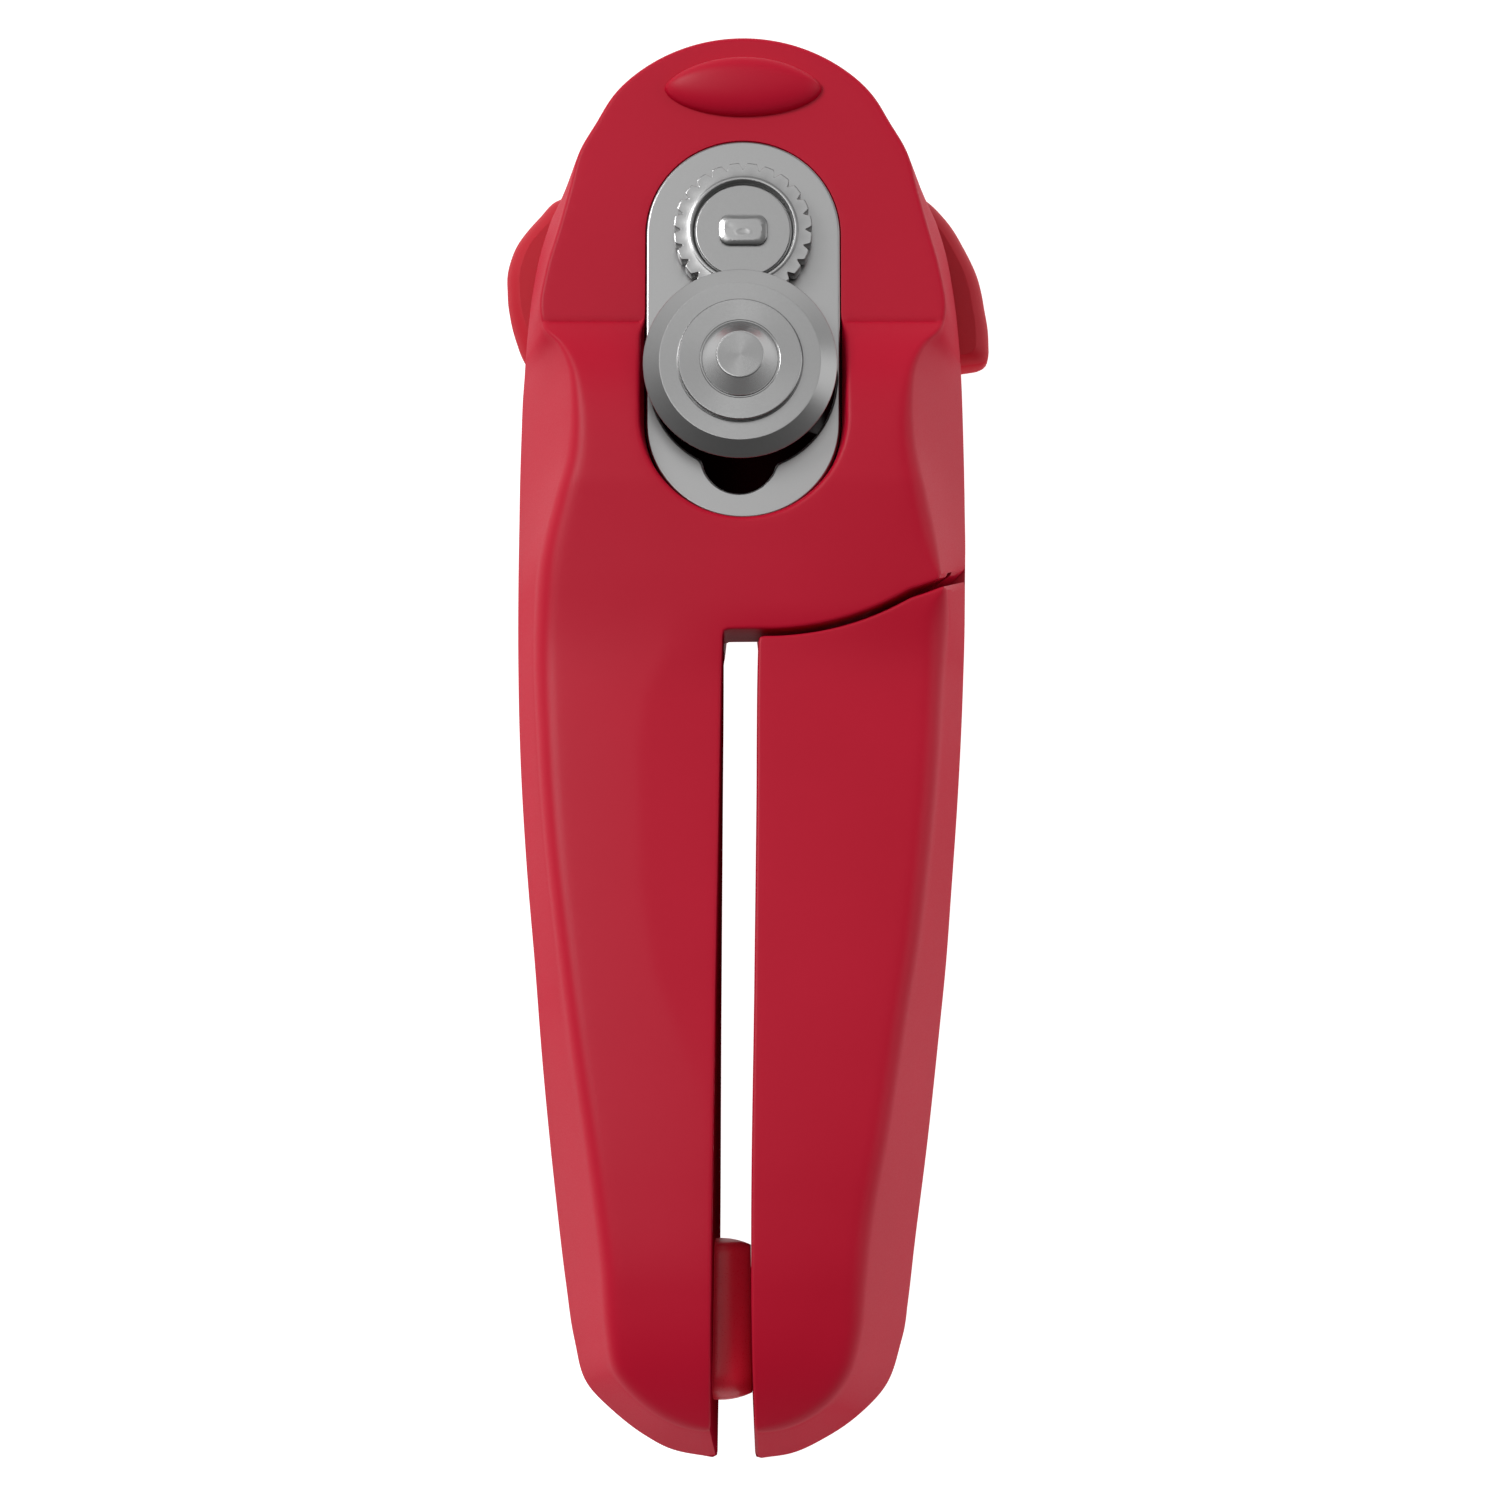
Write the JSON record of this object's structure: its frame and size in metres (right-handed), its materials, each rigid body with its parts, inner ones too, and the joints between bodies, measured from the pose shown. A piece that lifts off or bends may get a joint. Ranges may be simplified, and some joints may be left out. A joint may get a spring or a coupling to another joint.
{
  "type": "manual can opener",
  "caption": "Hand-held can opener: rounded head with a toothed feed wheel and a cutting wheel on a steel plate, a fixed and a hinged handle, and a turning knob behind the head.",
  "frame": {"origin": "drive shaft's axis at the front face of the steel face plate", "axes": "+Z out of the front face, along the drive shaft; +Y from the handles towards the nose of the head; +X to the hinged lever's side"},
  "size_m": [0.0664, 0.1903, 0.0521],
  "materials": {
    "shell_red": "satin, fine moulded texture",
    "knob_red": "satin",
    "bumper_red": "semi-gloss",
    "plate_steel": "fine satin",
    "wheel_steel": "satin",
    "cutter_steel": "ground",
    "axle_steel": "turned, bright",
    "inner_steel": "plain",
    "screw_steel": "plain",
    "bush_bronze": "plain"
  },
  "bodies": {
    "body": {"main_body": "shell_red", "rear_cover": "shell_red", "face_plate": "plate_steel", "front_bush": "bush_bronze", "rear_bush": "bush_bronze", "cover_screws": "screw_steel", "handle_bumper": "bumper_red", "pivot_pin": "inner_steel", "pivot_clip": "inner_steel"},
    "drive": {"drive_shaft": "wheel_steel", "feed_wheel": "wheel_steel", "retaining_disc": "wheel_steel", "thrust_washer": "inner_steel", "knob": "knob_red", "knob_washer": "screw_steel", "knob_screw": "screw_steel", "knob_cap": "knob_red"},
    "lever": {"lever_front": "shell_red", "lever_rear": "shell_red", "cutter_arm": "inner_steel", "arm_rivets": "inner_steel", "pivot_bush": "bush_bronze", "lever_screws": "screw_steel", "cutter_axle": "axle_steel", "cutter_spacer": "inner_steel"},
    "cutter": {"cutting_wheel": "cutter_steel", "step_disc": "axle_steel", "spring_washer": "inner_steel"}
  },
  "joints": [
    {"name": "knob_turn", "type": "hinge", "parent": "body", "child": "drive", "pos_m": [0, 0, 0], "axis": [0, 0, 1], "continuous": true},
    {"name": "lever_open", "type": "hinge", "parent": "body", "child": "lever", "pos_m": [0.0154, -0.0243, 0], "axis": [0, 0, 1], "range_deg": [0, 39.5]},
    {"name": "cutter_spin", "type": "hinge", "parent": "lever", "child": "cutter", "pos_m": [-0.0004, -0.0186, 0], "axis": [0, 0, 1], "continuous": true}
  ]
}
